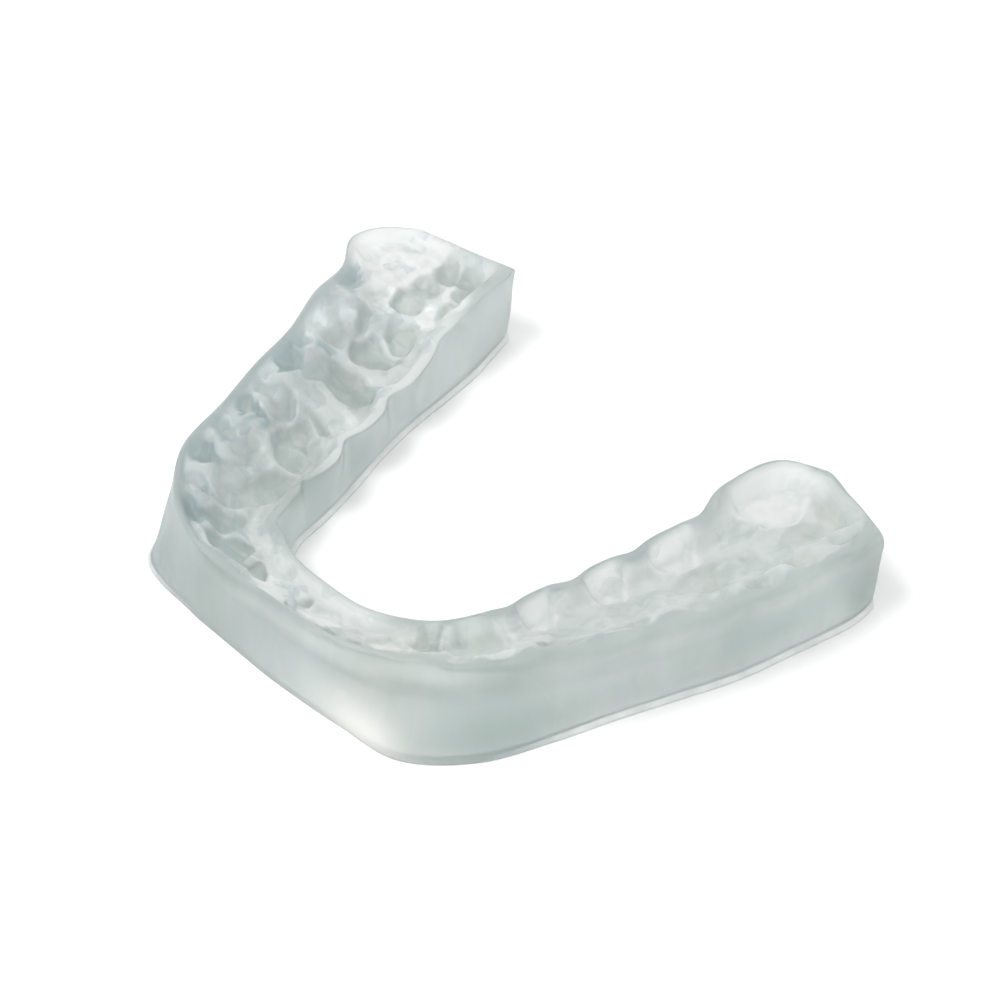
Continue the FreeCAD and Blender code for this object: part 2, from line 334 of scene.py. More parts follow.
def local_places(arch, along, across, turn, points):
    """Distances of the points from a place on the top, along and across its turned axes."""
    _, _, buccal, lingual = arch.at(np.array([along, along + SHORT_STEP]))
    centres = (buccal + (lingual - buccal) * across)[:, :2]
    run = (centres[1] - centres[0]) / np.hypot(*(centres[1] - centres[0]))
    side = (lingual - buccal)[0, :2]
    side = side - run * (side @ run)
    side /= np.hypot(*side)
    angle = math.radians(turn)
    offset = points - centres[0]
    by_run, by_side = offset @ run, offset @ side
    return (by_run * math.cos(angle) + by_side * math.sin(angle),
            by_side * math.cos(angle) - by_run * math.sin(angle))


def softened(amount):
    """The amount where it is above 0, with a soft foot instead of a crease at 0."""
    return (amount + np.sqrt(amount**2 + DENT_EDGE**2)) / 2


def dent_amount(arch, dent, points):
    """1 in the deepest part of one dent, falling to 0 outside it."""
    length, width = local_places(arch, dent.along, dent.across, dent.turn, points)
    reach = np.hypot(length / dent.half_length, width / dent.half_width) / DENT_REACH
    return softened(1 - np.clip((reach - dent.flat) / (1 - dent.flat), 0, None)**2)


def facet_amount(arch, facet, points):
    """1 at the bottom of one four-sided pit, falling evenly to 0 at its edges."""
    length, width = local_places(arch, facet.along, facet.across, facet.turn, points)
    return softened(1 - np.abs(length) / facet.half_length - np.abs(width) / facet.half_width)


def ripple_height(arch, points):
    """Height of the printed steps that show as ripples."""
    height = np.zeros(len(points))
    for along, across, half_length, half_width, turn, spacing, tall in RIPPLES:
        length, width = local_places(arch, along, across, turn, points)
        fade = np.exp(-(length / half_length)**2 - (width / half_width)**2)
        height += tall * fade * np.sin(length * 2 * math.pi / spacing)
    return height


def cell_height(points):
    """Small hollows side by side with sharp ridges between them, 0 on average."""
    nearest = np.array([noise.voronoi(Vector((x, y, 0)) / CELL)[0][0] for x, y in points])
    return (nearest**2 - CELL_MEAN) * CELL_DEPTH


def frosted_shell(along, across):
    """How frosted the shell is at each place, from 0 to 1."""
    amount = np.zeros(np.broadcast(along, across).shape)
    for place_along, place_across, reach_along, reach_across in FROSTED:
        fade_along = 1 - smooth(*FROST_FADE, np.abs(along - place_along) / reach_along)
        fade_across = 1 - smooth(*FROST_FADE, np.abs(across - place_across) / reach_across)
        amount = np.maximum(amount, fade_along * fade_across)
    return amount


def rim_notches(along):
    """How far the lingual rim is notched at each place along the arch."""
    depth = np.zeros_like(along)
    for place, deep in NOTCHES:
        depth = np.maximum(depth, deep * np.exp(-((along - place) / NOTCH_REACH)**2))
    return depth


def trough_depth(arch, along, across):
    """Depth of the shallow trough that the dents lie in, less between teeth and at the front."""
    part = along / arch.length
    ahead = plateau(*TROUGH_AHEAD, part)
    right = smooth(*TROUGH_RIGHT, part)
    near_end = smooth(0, END_WALL, along) * smooth(0, END_WALL, arch.length - along)
    start = TROUGH_START + TROUGH_START_RIGHT * right + TROUGH_START_AHEAD * ahead
    full = TROUGH_FULL + TROUGH_FULL_RIGHT * right
    across_share = plateau((start, full), TROUGH_END, across)
    deepest = (TROUGH_DEPTH - TROUGH_LESS_AHEAD * ahead) * near_end
    return across_share * (deepest - NOTCH_RISE * rim_notches(along))


def imprint_depth(arch, along, across, points):
    """Depth of the trough and all its dents, how much is a glassy facet, and how white it is."""
    total = np.clip(trough_depth(arch, along, across), 0, None)**DENT_UNION
    deepest = np.full_like(along, DEEP)
    facet = np.zeros_like(along)
    white = np.full_like(along, TROUGH_WHITE)
    for pit in PITS:
        is_facet = isinstance(pit, Facet)
        amount = facet_amount(arch, pit, points) if is_facet else dent_amount(arch, pit, points)
        depth = pit.depth * amount
        total += depth**DENT_UNION
        leads = depth > deepest
        deepest = np.where(leads, depth, deepest)
        facet = np.where(leads, float(is_facet), facet)
        white = np.where(leads, pit.white, white)
    return total**(1 / DENT_UNION), facet, white


# ---------------------------------------------------------------- the splint's mesh

STEP = 0.20              # spacing of the sections along the arch
TOP_POINTS = 96          # points across the top of each section
WALL_POINTS = 14         # points up each wall
BASE_POINTS = 6          # points across the base
EDGE_POINTS = 6          # points round each rim
END_ROUND = 0.45         # rounding between the end faces and the sides
END_RINGS = 4            # sections in that rounding
END_CAP = (0.03, 0.3, 0.5)  # how far each ring on an end face shrinks towards its middle
BOX_MARGIN = 0.002       # how far the mesh stays inside the solid's box

LIP = 0.3                # how far the base's lip stands out
LIP_TOP = 0.42           # its height
LIP_ROUND = 0.6          # part of that height that is upright
LIP_LEDGE = 0.25         # part of its stand-out over which its top edge is rounded
LIP_BLEND = 0.2          # height over which it turns into the wall
LIP_GONE = ((0.36, 0.44), (0.66, 0.74))  # parts of the arch where it fades out, and back in
LIP_SEEN = 0.02          # the least of it that gets its own material
BUCCAL_EDGE = 0.45       # rounding of the buccal rim on the left arm and along the front
BUCCAL_EDGE_MORE = 0.8   # how much broader it is on the right arm
BROADER = (0.62, 0.75)   # part of the arch over which it broadens
LINGUAL_EDGE = 0.22      # rounding of the lingual rim
BUCCAL_SET_IN = 0.15     # how far the buccal rim is set in from the solid's
LUMPY = (0.5, 0.7)       # part of the arch over which the buccal rim turns lumpy
LUMP_SIZE = 3.0
LUMP_ACROSS = 0.45       # how far the lumps move the rim across
LUMP_UP = 0.25           # how far they move it up and down
LUMPY_DROP = 0.1         # how much lower the lumpy rim is

# Slow unevenness of the surfaces, each as its size and its height.
BUCCAL_WAVES = (7.0, 0.35)
BUCCAL_FLUTES = (2.6, 0.18)
LINGUAL_WAVES = (5.0, 0.35)
LINGUAL_FLUTES = (2.6, 0.25)
SHELL_WAVES = (3.5, 0.25)
DENT_WARP = (2.2, 0.7)   # bends the outlines of the dents
DENT_GRAIN = (1.1, 0.16)
DENT_FINE_GRAIN = (0.45, 0.05)
OTHER_NOISE = 50         # offset to a place where the noise is unrelated

RIM_FLAT = 0.10          # part of the width, next to each rim, that stays at the rim's height
BUCCAL_CLEAR = 0.06      # part of the width, next to the buccal rim, that the imprints leave alone
CLEAR_LESS_AHEAD = 0.7   # how much of that they take at the front teeth
FRONT_TEETH = ((48, 54), (68, 74))  # where the front teeth start and end along the arch
LINGUAL_CLEAR = 0.025    # the same next to the lingual rim
RIM_STEP = 0.25          # how deep the imprints may start right beside a rim
RIM_SLOPE = 1.35         # how steeply they may sink from there, so that they stay inside the wall
END_CLEAR = (0.5, 2.2)   # distance from a rear end over which the imprints fade in
INSIDE = (0.3, 1.6)      # depths over which a place turns from the shell into an imprint
WHITE_FROM = (0.1, 0.5)  # depths over which an imprint's own whiteness fades in

RELIEF_BLUR = 12         # how wide a neighbourhood the relief mark compares with
RELIEF_SCALE = 0.14      # height above that neighbourhood that counts as a full ridge
# Parts of the width over which a mark fades in, from the buccal rim and from the lingual rim.
RELIEF_FADE = ((0.02, 0.12), (0.03, 0.16))
PATCHY_FADE = ((0.02, 0.10), (0.0, 0.07))
PATCHY_LEAST = 0.35      # how much of the patchwork is left where the dents have no hollows
# Where the top takes a painted refraction, darker and bluer, of the thick left cheek wall seen
# through it.
GLASS_ALONG = ((8, 13), (46, 50))  # where the glassy left cheek wall starts and ends
GLASS_ACROSS = (0.36, 0.54)  # where it ends across the top
WALL, TOP, EDGE = range(3)  # material slots

# Painted light and shade on the walls: a painted glow where light gathers low in the front right
# corner (first row), and painted lighter (above 0) and darker stretches. Each row: place along the
# arch, height, reach along, reach up, strength.
WALL_PAINTED_LIGHT_AND_SHADE = (
    (66.4, 1.7, 4.4, 2.4, 1.0),
    (77.0, 3.0, 6.0, 3.0, -0.8),
    (86.0, 3.5, 4.0, 2.0, -0.2),
    (99.0, 5.2, 7.0, 2.4, -0.8),
    (112.0, 4.0, 5.0, 3.5, -0.8),
    (50.0, 5.0, 3.0, 5.0, -0.4),
    (28.0, 3.0, 14.0, 4.0, -0.4),
    (42.0, 4.0, 5.0, 4.0, -0.4),
    (60.0, 7.6, 6.0, 0.8, 0.2),
    (73.0, 7.8, 3.0, 0.8, 0.25),
    (82.0, 8.1, 2.4, 0.8, 0.3),
    (91.0, 8.3, 2.8, 0.9, 0.3),
    (104.0, 8.4, 3.6, 0.9, 0.3),
    (66.0, 6.3, 12.0, 0.45, -0.35),
    (92.0, 6.8, 9.0, 0.5, -0.2),
)

Outline = namedtuple("Outline", "foot_b foot_l rim_b rim_l run top_b top_l")
RING_ORDER = ("base", "lip_b", "buccal", "edge_b", "top", "edge_l", "lingual", "lip_l")


def shape_of(ring):
    """How many points a part of the ring has, and how many sections."""
    return ring.shape[:2]


def lip_amount(along, length):
    """How much of the base's lip stands out: none of it round the front."""
    return 1 - plateau(*LIP_GONE, along / length)


def buccal_edge_radius(along, length):
    """Crisp on the left arm and along the front, broadly rounded on the right arm."""
    return BUCCAL_EDGE + BUCCAL_EDGE_MORE * smooth(*BROADER, along / length)


def between(start, end, count):
    """Evenly spaced points from start to end."""
    return np.linspace(0, 1, count)[:, None, None] * (end - start) + start


def rounded(start, corner, end, count):
    """Points along a curve from start to end that rounds off the corner."""
    parts = np.linspace(0, 1, count)[:, None, None]
    return (1 - parts)**2 * start + 2 * parts * (1 - parts) * corner + parts**2 * end


def waviness(points, scale, height):
    """Slow unevenness of a surface, as smooth noise."""
    flat = points.reshape(-1, 3)
    values = [noise.noise(Vector(p) / scale) for p in flat]
    return np.array(values).reshape(points.shape[:-1]) * height


def blurred(grid, times):
    """The grid softened along both of its directions, with its edges kept."""
    for _ in range(times):
        for axis in (0, 1):
            lines = np.moveaxis(grid, axis, 0)
            softer = lines.copy()
            softer[1:-1] = (lines[:-2] + 2 * lines[1:-1] + lines[2:]) / 4
            grid = np.moveaxis(softer, 0, axis)
    return grid


def level(points, height):
    """The same places in plan at another height."""
    moved = points.copy()
    moved[..., 2] = height
    return moved


def unit(vectors):
    """The same directions with a length of 1."""
    return vectors / np.linalg.norm(vectors, axis=1)[:, None]


def stations(length):
    """Where the sections stand along the arch, and how far the end rounding sets each one in."""
    turns = np.linspace(0, math.pi / 2, END_RINGS + 1)[1:]
    lead = END_ROUND * (1 - np.sin(turns))[::-1]
    count = int(round((length - 2 * END_ROUND) / STEP))
    body = np.linspace(END_ROUND, length - END_ROUND, count)
    insets = END_ROUND * (1 - np.cos(turns))
    return (np.concatenate([lead, body, length - lead[::-1]]),
            np.concatenate([insets[::-1], np.zeros(count), insets]))


def outline_at(arch, along):
    """Each section's feet, its notched and lumpy rims, and the points where its top starts."""
    foot_b, foot_l, rim_b, rim_l = arch.at(along)
    run = foot_l - foot_b
    run[:, 2] = 0
    run /= np.hypot(run[:, 0], run[:, 1])[:, None]
    notch = rim_notches(along)
    rim_l = rim_l - run * notch[:, None]
    rim_l[:, 2] -= notch * NOTCH_DROP
    lumpy = smooth(*LUMPY, along / arch.length)
    lumps = waviness(rim_b, LUMP_SIZE, 1.0)
    rim_b = rim_b + run * (BUCCAL_SET_IN + LUMP_ACROSS * lumpy * lumps)[:, None]
    rim_b[:, 2] += (LUMP_UP * lumps - LUMPY_DROP) * lumpy
    radius = buccal_edge_radius(along, arch.length)[:, None]
    return Outline(foot_b, foot_l, rim_b, rim_l, run, rim_b + run * radius,
                   rim_l - run * LINGUAL_EDGE)


def wall_rings(outline, along, length):
    """The parts of every section's ring that are not its top, by name."""
    foot_b, foot_l, rim_b, rim_l, run, top_b, top_l = outline
    radius = buccal_edge_radius(along, length)[:, None]
    lip = (LIP * lip_amount(along, length))[:, None]
    ledge = lip * LIP_LEDGE
    start_b = level(foot_b + run * lip, LIP_TOP + LIP_BLEND)
    start_l = level(foot_l - run * lip, LIP_TOP + LIP_BLEND)
    end_b = rim_b - unit(rim_b - start_b) * radius
    end_l = rim_l - unit(rim_l - start_l) * LINGUAL_EDGE
    buccal = between(start_b, end_b, WALL_POINTS)
    lingual = between(end_l, start_l, WALL_POINTS)
    bulge = np.sin(np.linspace(0, math.pi, WALL_POINTS))[:, None]
    flutes_b = waviness(level(buccal, 0), *BUCCAL_FLUTES)
    flutes_l = waviness(level(lingual, 0), *LINGUAL_FLUTES)
    buccal -= run * ((waviness(buccal, *BUCCAL_WAVES) + flutes_b) * bulge)[..., None]
    lingual += run * ((waviness(lingual, *LINGUAL_WAVES) + flutes_l) * bulge[::-1])[..., None]
    upright = LIP_TOP * LIP_ROUND
    return {
        "base": between(foot_l, foot_b, BASE_POINTS),
        "lip_b": np.stack([level(foot_b, upright), level(foot_b + run * ledge, LIP_TOP)]),
        "buccal": buccal,
        "edge_b": rounded(end_b, rim_b, top_b, EDGE_POINTS)[1:-1],
        "edge_l": rounded(top_l, rim_l, end_l, EDGE_POINTS)[1:-1],
        "lingual": lingual,
        "lip_l": np.stack([level(foot_l - run * ledge, LIP_TOP), level(foot_l, upright)]),
    }


def clear_of_rims(along, part, length):
    """0 where the imprints leave the top alone next to its rims and its ends, 1 elsewhere."""
    front = plateau(*FRONT_TEETH, along)
    buccal_clear = BUCCAL_CLEAR * (1 - CLEAR_LESS_AHEAD * front)
    clear = smooth(0, buccal_clear, part) * smooth(0, LINGUAL_CLEAR, 1 - part)
    return clear * smooth(*END_CLEAR, np.minimum(along, length - along))


def imprinted_top(arch, along, outline):
    """The top of every section, and the marks that its material reads there."""
    rim_b, rim_l = outline.rim_b, outline.rim_l
    top = between(outline.top_b, outline.top_l, TOP_POINTS)
    part = np.linspace(0, 1, TOP_POINTS)[:, None]
    places = np.broadcast_to(along, shape_of(top)).ravel()
    across = np.broadcast_to(part, shape_of(top)).ravel()

    # A shell that falls from the buccal rim to the lingual rim, with the imprints in it.
    fall = smooth(RIM_FLAT, 1 - RIM_FLAT, part)
    shell = rim_b[:, 2] * (1 - fall) + rim_l[:, 2] * fall
    shell = shell + waviness(top, *SHELL_WAVES) * np.sin(part * math.pi)
    warp = [waviness(top, *DENT_WARP), waviness(top + OTHER_NOISE, *DENT_WARP)]
    warped = (top[..., :2] + np.stack(warp, axis=2)).reshape(-1, 2)
    depth, facet, white = (values.reshape(shape_of(top))
                           for values in imprint_depth(arch, places, across, warped))
    width = np.hypot(*(rim_l - rim_b)[:, :2].T)
    for from_rim in (part * width, (1 - part) * width):
        depth = np.minimum(depth, RIM_STEP + RIM_SLOPE * from_rim)
    clear = clear_of_rims(along, part, arch.length)
    depth = depth * clear
    inside = smooth(*INSIDE, depth)
    unevenness = waviness(top, *DENT_GRAIN) + waviness(top, *DENT_FINE_GRAIN)
    arm = 1 - (1 - CELL_ON_RIGHT) * smooth(*CELL_SOFTER, along / arch.length)
    cells = cell_height(warped).reshape(shape_of(top)) * arm
    steps = ripple_height(arch, top[..., :2].reshape(-1, 2)).reshape(shape_of(top))
    top[..., 2] = blurred(shell - depth + cells * inside, 1) + unevenness * inside + steps * clear

    def fade(limits):
        return smooth(*limits[0], part) * smooth(*limits[1], 1 - part)

    relief = np.clip((top[..., 2] - blurred(top[..., 2], RELIEF_BLUR)) / RELIEF_SCALE, -1, 1)
    frost = FROST_ON_SHELL * frosted_shell(along, part) * (1 - inside)
    white = np.clip(white * smooth(*WHITE_FROM, depth) + frost, -1, 1)
    return top, {
        "imprint": inside,
        "relief": relief * fade(RELIEF_FADE),
        "facet": blurred(facet, 1) * clear,
        "white": blurred(white, 1),
        "glass": plateau(*GLASS_ALONG, along) * (1 - smooth(*GLASS_ACROSS, part)),
        "patchy": fade(PATCHY_FADE) * (PATCHY_LEAST + (1 - PATCHY_LEAST) * arm),
    }


def painted_wall_light_and_shade(along, heights):
    """Painted light and shade on the walls, from -1 (painted shade) to 1 (painted glow)."""
    shade = np.zeros_like(heights)
    for place, height, reach_along, reach_up, strength in WALL_PAINTED_LIGHT_AND_SHADE:
        shade += strength * np.exp(-((along - place) / reach_along)**2
                                   - ((heights - height) / reach_up)**2)
    return np.clip(shade, -1, 1)


def section_rings(arch):
    """Every section's closed ring of points, its marks, and the slots of the faces after each."""
    along, inset = stations(arch.length)
    outline = outline_at(arch, along)
    rings = wall_rings(outline, along, arch.length)
    rings["top"], top_marks = imprinted_top(arch, along, outline)
    grid = np.concatenate([rings[name] for name in RING_ORDER])
    starts = np.cumsum([0] + [len(rings[name]) for name in RING_ORDER])
    start = dict(zip(RING_ORDER, starts))
    marks = {}
    for name, mark in top_marks.items():
        whole = np.zeros(shape_of(grid))
        whole[start["top"]:start["edge_l"]] = mark
        marks[name] = whole.T

    # Round the ends: their sections shrink towards their own middle.
    middle = (outline.foot_b + outline.foot_l + outline.rim_b + outline.rim_l) / 4
    grid += (middle - grid) * (inset / middle[:, 2])[:, None]
    lip = lip_amount(along, arch.length)
    # The walls' painted light and shade, as a mark for their material.
    marks["shade"] = painted_wall_light_and_shade(along, grid[..., 2]).T
    marks["lip"] = np.broadcast_to(lip, shape_of(grid)).T

    slots = np.full(shape_of(grid), WALL, dtype=np.int32)
    slots[start["top"] - 1:start["edge_l"]] = TOP
    for column in (start["lip_b"] - 1, start["lip_b"], start["buccal"] - 1,
                   start["lip_l"] - 1, start["lip_l"], len(grid) - 1):
        slots[column, lip > LIP_SEEN] = EDGE
    return grid.transpose(1, 0, 2), marks, slots.T


def cap_rings(ring):
    """Rings that shrink on an end face, and its middle, so that the face shades as one plane."""
    middle = (ring.min(axis=0) + ring.max(axis=0)) / 2
    rings = []
    for part in END_CAP:
        ring = ring + (middle - ring) * part
        rings.append(ring)
    return np.array(rings), middle


def faces_round(sections, around):
    """Faces between the rings, and the two fans that close the ends round their middles."""
    faces = []
    for i in range(sections - 1):
        row, following = i * around, (i + 1) * around
        for j in range(around):
            k = (j + 1) % around
            faces.append((row + j, row + k, following + k, following + j))
    last = (sections - 1) * around
    left_middle = sections * around
    right_middle = left_middle + 1
    faces += [(left_middle, (j + 1) % around, j) for j in range(around)]
    faces += [(last + j, last + (j + 1) % around, right_middle) for j in range(around)]
    return faces


def splint_mesh(arch):
    """The whole splint as one closed mesh, with the material's marks on its vertices."""
    grid, marks, slots = section_rings(arch)
    low, high = (np.array(corner) / MM for corner in cad_bounds)
    grid = np.clip(grid, low + BOX_MARGIN, high - BOX_MARGIN)
    grid[..., 2] = np.maximum(grid[..., 2], 0)
    left, left_middle = cap_rings(grid[0])
    right, right_middle = cap_rings(grid[-1])
    grid = np.concatenate([left[::-1], grid, right])
    points = np.concatenate([grid.reshape(-1, 3), [left_middle, right_middle]])
    mesh = bpy.data.meshes.new(NODE)
    mesh.from_pydata((points * MM).tolist(), [], faces_round(*shape_of(grid)))

    # The end faces carry on the slots and marks of the sections beside them.
    both_ends = ((len(END_CAP), len(END_CAP)), (0, 0))
    slots = np.pad(slots[:-1], both_ends, mode="edge")
    slots = np.concatenate([slots.ravel(), slots[0], slots[-1]])
    mesh.polygons.foreach_set("material_index", slots)
    for name, values in marks.items():
        values = np.pad(values, both_ends, mode="edge")
        values = np.concatenate([values.ravel(), values[0, :1], values[-1, :1]])
        mesh.attributes.new(name, "FLOAT", "POINT").data.foreach_set("value", values)
    tidy = bmesh.new()
    tidy.from_mesh(mesh)
    bmesh.ops.recalc_face_normals(tidy, faces=tidy.faces)
    tidy.to_mesh(mesh)
    tidy.free()
    mesh.polygons.foreach_set("use_smooth", [True] * len(mesh.polygons))
    return mesh


# ---------------------------------------------------------------- material

class Nodes:
    """Short names for building one material's node tree."""

    def __init__(self, name):
        self.material = bpy.data.materials.new(name)
        self.material.use_nodes = True
        self.tree = self.material.node_tree
        self.tree.nodes.clear()

    def add(self, kind, inputs=None, **settings):
        node = self.tree.nodes.new(kind)
        for key, value in settings.items():
            setattr(node, key, value)
        for key, value in (inputs or {}).items():
            if isinstance(value, bpy.types.NodeSocket):
                self.tree.links.new(value, node.inputs[key])
            else:
                node.inputs[key].default_value = value
        return node

    def noise(self, places, scale, detail, distortion=0.0):
        settings = {"Vector": places, "Scale": scale, "Detail": detail, "Distortion": distortion}
        return self.add("ShaderNodeTexNoise", settings).outputs["Fac"]

    def ramp(self, value, low, high, out_low, out_high):
        settings = {"Value": value, "From Min": low, "From Max": high,
                    "To Min": out_low, "To Max": out_high}
        return self.add("ShaderNodeMapRange", settings).outputs["Result"]

    def math(self, operation, first, second):
        return self.add("ShaderNodeMath", {0: first, 1: second}, operation=operation).outputs[0]

    def mark(self, name):
        """A mark that the mesh carries on its vertices."""
        return self.add("ShaderNodeAttribute", attribute_name=name).outputs["Fac"]

    def mix(self, factor, first, second):
        node = self.add("ShaderNodeMix", {"Factor": factor, 6: first, 7: second}, data_type="RGBA")
        return node.outputs[2]


RESIN_IOR = 1.38
# Scales of the patterns, from the slowest to the finest.
CLOUD_SCALE = 230
PATCH_DRIFT_SCALE = 300
WALL_PATCH_SCALE = 300
BIG_PATCH_SCALE = 420
LIP_BREAK_SCALE = 700
LIP_CLOUD_SCALE = 900
STREAK_SCALE = 900
SMALL_PATCH_SCALE = 1000
GRAIN_SCALE = 2600
GRAIN_BUMP = {"Strength": 0.12, "Distance": 0.00004}
PATCH_DRIFT = (0.002, 0.002, 0.002)  # how far the edges between patches wander, in metres
# How much each pattern is drawn out upright.
UPRIGHT_CLOUDS = (1.0, 1.0, 0.35)
UPRIGHT_PATCHES = (1.0, 1.0, 0.25)
UPRIGHT_STREAKS = (1.0, 1.0, 0.08)

WALL_DEEP = (0.68, 0.765, 0.75, 1)
WALL_MILKY = (0.93, 0.955, 0.945, 1)
WALL_PAINTED_REFRACTION = (0.58, 0.67, 0.655, 1)
WALL_STREAK = (0.62, 0.72, 0.70, 1)
WALL_PAINTED_SHADE = (0.50, 0.61, 0.58, 1)
WALL_PAINTED_GLOW = (1.0, 0.99, 0.945, 1)

SHELL_DEEP = (0.66, 0.735, 0.72, 1)
SHELL_MILKY = (0.84, 0.875, 0.865, 1)
FLOOR_CLEAR = (0.78, 0.80, 0.765, 1)
FLOOR_FROSTED = (0.95, 0.95, 0.945, 1)
FLOOR_PAINTED_SHADE = (0.46, 0.52, 0.49, 1)
FACET_PAINTED_REFRACTION = (0.40, 0.54, 0.59, 1)
FACET_FROSTED = (0.90, 0.94, 0.95, 1)
GLASSY_WALL_PAINTED_REFRACTION = (0.59, 0.68, 0.70, 1)
HOLLOW_PAINTED_SHADE = (0.68, 0.74, 0.71, 1)
RIDGE_FROST_AND_PAINTED_LIGHT = (0.96, 0.97, 0.97, 1)
REFRACTION_PAINTED_DARK = (0.51, 0.60, 0.60, 1)
REFRACTION_PAINTED_LIGHT = (0.95, 0.96, 0.955, 1)

LIP_CLEAR = (0.80, 0.87, 0.86, 1)
LIP_PAINTED_LIGHT_DULL = (0.78, 0.82, 0.81, 1)
LIP_PAINTED_LIGHT = (0.96, 0.97, 0.96, 1)


def finish_resin(n, places, tone, rough, frost, clear):
    """The resin's shader: rough is its range of roughness, clear how much light passes through
    where the frost is 0 and where it is 1."""
    grain = n.noise(places, GRAIN_SCALE, 3)
    bump = n.add("ShaderNodeBump", {**GRAIN_BUMP, "Height": grain})
    shader = n.add("ShaderNodeBsdfPrincipled", {
        "Base Color": tone, "Roughness": n.ramp(grain, 0, 1, *rough), "IOR": RESIN_IOR,
        "Normal": bump.outputs["Normal"], "Transmission Weight": n.ramp(frost, 0, 1, *clear)})
    n.add("ShaderNodeOutputMaterial", {"Surface": shader.outputs["BSDF"]})
    return n.material


def upright(n, places, stretch):
    """The same places, for a pattern that is drawn out upright."""
    return n.add("ShaderNodeMapping", {"Vector": places, "Scale": stretch}).outputs["Vector"]


def clouds(n, places):
    """Slow milky clouds, drawn out upright."""
    return n.noise(upright(n, places, UPRIGHT_CLOUDS), CLOUD_SCALE, 4, 0.6)


def streaks(n, places):
    """Faint narrow upright streaks, where the print's layers step."""
    return n.noise(upright(n, places, UPRIGHT_STREAKS), STREAK_SCALE, 3, 0.3)


def patches(n, places, scale):
    """A patchwork of crisp pieces from 0 to 1, painted refraction, as facets of clear resin show
    what is behind.
    """
    drift = n.add("ShaderNodeTexNoise", {"Vector": places, "Scale": PATCH_DRIFT_SCALE, "Detail": 2})
    drift = n.add("ShaderNodeVectorMath", {0: drift.outputs["Color"], 1: PATCH_DRIFT},
                  operation="MULTIPLY")
    moved = n.add("ShaderNodeVectorMath", {0: places, 1: drift.outputs[0]}, operation="ADD")
    cells = n.add("ShaderNodeTexVoronoi", {"Vector": moved.outputs[0], "Scale": scale})
    return n.add("ShaderNodeSeparateColor", {"Color": cells.outputs["Color"]}).outputs[0]


def wall_material():
    """Milky clear printed resin, a little blue-green, in upright patches of painted refraction, with
    painted shade on darker stretches and a warm painted glow of gathered light on one corner.
    """
    n = Nodes("clear_resin")
    places = n.add("ShaderNodeTexCoord").outputs["Object"]
    shade = n.mark("shade")
    column = patches(n, upright(n, places, UPRIGHT_PATCHES), WALL_PATCH_SCALE)
    tone = n.mix(clouds(n, places), WALL_DEEP, WALL_MILKY)
    # Upright patches of painted refraction darken the walls in pieces.
    tone = n.mix(n.ramp(column, 0.3, 1.0, 0.0, 0.22), tone, WALL_PAINTED_REFRACTION)
    tone = n.mix(n.ramp(streaks(n, places), 0.35, 0.65, 0.0, 0.16), tone, WALL_STREAK)
    # Painted shade where the shade mark is below 0, and a painted warm glow where it is above 0; the
    # glow also lets less light through.
    tone = n.mix(n.ramp(shade, 0, -1, 0, 1), tone, WALL_PAINTED_SHADE)
    tone = n.mix(n.ramp(shade, 0, 1, 0, 1), tone, WALL_PAINTED_GLOW)
    return finish_resin(n, places, tone, (0.34, 0.42), shade, (0.85, 0.45))


def imprint_material():
    """The same resin where the teeth are printed: frosted ridges and lobes round clearer floors,
    with painted light on the ridges, painted shade in the hollows and deep floors, and painted
    refraction where clear facets show what is behind.
    """
    n = Nodes("frosted_resin")
    places = n.add("ShaderNodeTexCoord").outputs["Object"]
    inside, relief, facet, white = (n.mark(name) for name in ("imprint", "relief", "facet", "white"))
    glass, patchy = n.mark("glass"), n.mark("patchy")
    ridge = n.ramp(relief, 0.15, 0.9, 0, 1)
    shell = n.mix(clouds(n, places), SHELL_DEEP, SHELL_MILKY)
    floors = n.mix(white, FLOOR_CLEAR, FLOOR_FROSTED)
    # Below 0 the floors are painted darker: painted shade in deep dents.
    floors = n.mix(n.ramp(white, 0, -1, 0, 1), floors, FLOOR_PAINTED_SHADE)
    glassy = n.mix(white, FACET_PAINTED_REFRACTION, FACET_FROSTED)
    tone = n.mix(n.math("MAXIMUM", inside, white), shell, floors)
    # Painted refraction: the thick cheek wall seen through the top, and the clear facets, painted
    # darker and bluer.
    tone = n.mix(n.math("MULTIPLY", glass, 0.5), tone, GLASSY_WALL_PAINTED_REFRACTION)
    tone = n.mix(n.math("MULTIPLY", facet, 0.85), tone, glassy)
    # Painted shade in the hollows, and ridges painted lighter: partly their frost, partly painted
    # light.
    tone = n.mix(n.ramp(relief, 0, -0.9, 0, 0.5), tone, HOLLOW_PAINTED_SHADE)
    tone = n.mix(n.math("MULTIPLY", ridge, 0.6), tone, RIDGE_FROST_AND_PAINTED_LIGHT)
    # Painted refraction: a patchwork of darker and lighter pieces, as clear facets show what is
    # behind.
    big, small = (patches(n, places, scale) for scale in (BIG_PATCH_SCALE, SMALL_PATCH_SCALE))
    piece = n.math("ADD", n.math("MULTIPLY", big, 0.65), n.math("MULTIPLY", small, 0.35))
    dark = n.math("MULTIPLY", n.ramp(piece, 0.5, 0.1, 0, 0.55), patchy)
    light = n.math("MULTIPLY", n.ramp(piece, 0.5, 0.9, 0, 0.5), patchy)
    tone = n.mix(light, n.mix(dark, tone, REFRACTION_PAINTED_DARK), REFRACTION_PAINTED_LIGHT)
    frost = n.math("MAXIMUM", n.math("MULTIPLY", ridge, 0.45), white)
    return finish_resin(n, places, tone, (0.29, 0.38), frost, (0.80, 0.50))


